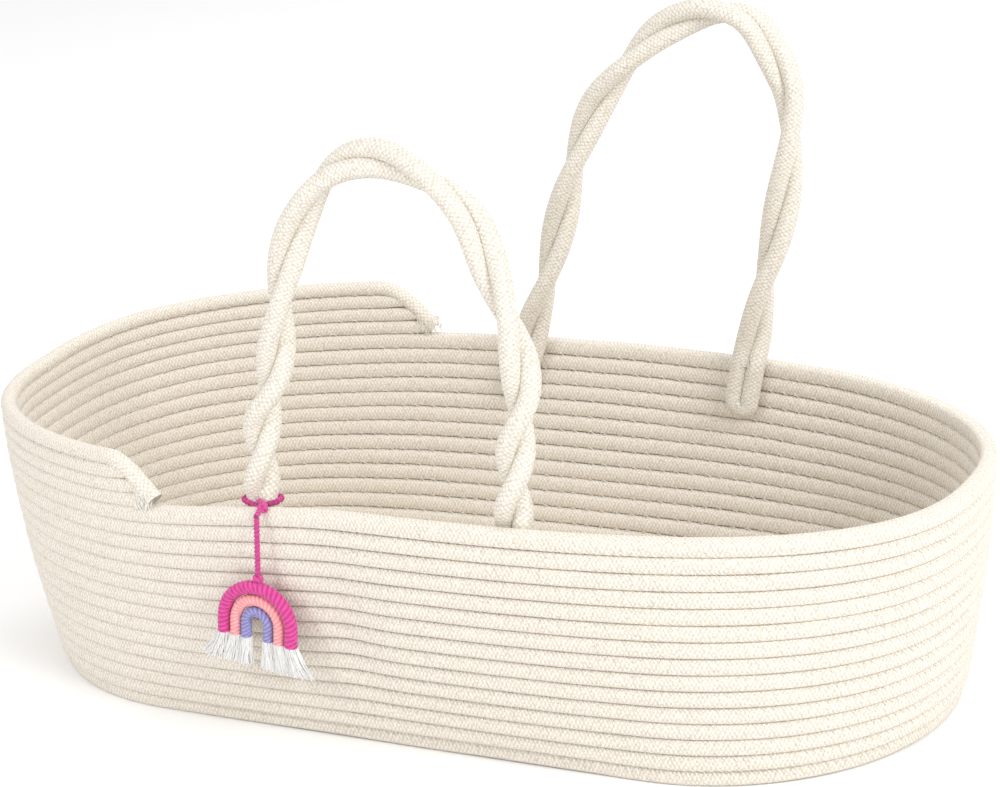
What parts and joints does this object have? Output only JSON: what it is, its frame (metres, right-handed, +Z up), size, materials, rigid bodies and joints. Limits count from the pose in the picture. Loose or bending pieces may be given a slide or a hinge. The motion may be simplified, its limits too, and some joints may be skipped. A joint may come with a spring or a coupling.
{
  "type": "rope bassinet basket",
  "caption": "Oval coiled cotton rope bassinet basket with a raised head end, two twisted rope carrying handles that fold, and a hanging rainbow charm.",
  "frame": {"origin": "on the resting surface, below the middle of the basket", "axes": "+Z up, +X towards the foot end, -Y towards the side that carries the charm"},
  "size_m": [0.7713, 0.4185, 0.4718],
  "materials": {
    "wall_rope": "undyed braided cotton rope, coiled and zigzag stitched",
    "handle_rope": "undyed braided cotton rope, thicker",
    "thread": "white sewing thread",
    "pink_cord": "hot pink twisted cotton cord",
    "pink_yarn": "hot pink cotton yarn wrapped round a core",
    "light_pink_yarn": "light pink cotton yarn wrapped round a core",
    "violet_yarn": "violet blue cotton yarn wrapped round a core",
    "fringe_yarn": "white brushed cotton fringe"
  },
  "bodies": {
    "basket": {"floor_coil": "wall_rope", "wall_coil": "wall_rope", "head_course_1": "wall_rope", "head_course_2": "wall_rope", "head_course_3": "wall_rope", "head_rim_rope": "wall_rope", "head_rope_tack_back": "thread", "head_rope_tack_front": "thread", "front_handle_end_head": "handle_rope", "front_handle_end_foot": "handle_rope", "front_handle_stitch_head": "thread", "front_handle_stitch_foot": "thread", "back_handle_end_head": "handle_rope", "back_handle_end_foot": "handle_rope", "back_handle_stitch_head": "thread", "back_handle_stitch_foot": "thread", "charm_loop": "pink_cord", "charm_loop_knot": "pink_cord"},
    "front_handle": {"front_handle_strand_a": "handle_rope", "front_handle_strand_b": "handle_rope"},
    "back_handle": {"back_handle_strand_a": "handle_rope", "back_handle_strand_b": "handle_rope"},
    "charm_hanger": {"charm_cord": "pink_cord"},
    "charm": {"charm_tie": "pink_cord", "charm_arch_outer": "pink_yarn", "charm_arch_middle": "light_pink_yarn", "charm_arch_inner": "violet_yarn", "charm_fringe_inner_head": "fringe_yarn", "charm_fringe_inner_foot": "fringe_yarn", "charm_fringe_middle_head": "fringe_yarn", "charm_fringe_middle_foot": "fringe_yarn", "charm_fringe_outer_head": "fringe_yarn", "charm_fringe_outer_foot": "fringe_yarn"}
  },
  "joints": [
    {"name": "front_handle_fold", "type": "hinge", "parent": "basket", "child": "front_handle", "pos_m": [0.0235, -0.1803, 0.207], "axis": [1, 0, 0], "range_deg": [-36, 85]},
    {"name": "back_handle_fold", "type": "hinge", "parent": "basket", "child": "back_handle", "pos_m": [0.056, 0.1791, 0.207], "axis": [-1, 0, 0], "range_deg": [-33, 85]},
    {"name": "charm_swing", "type": "hinge", "parent": "basket", "child": "charm_hanger", "pos_m": [-0.063, -0.2112, 0.1827], "axis": [-1, 0, 0], "range_deg": [0, 60]},
    {"name": "charm_tilt", "type": "hinge", "parent": "charm_hanger", "child": "charm", "pos_m": [-0.067, -0.2112, 0.1397], "axis": [0, 1, 0], "range_deg": [-18, 18]}
  ]
}
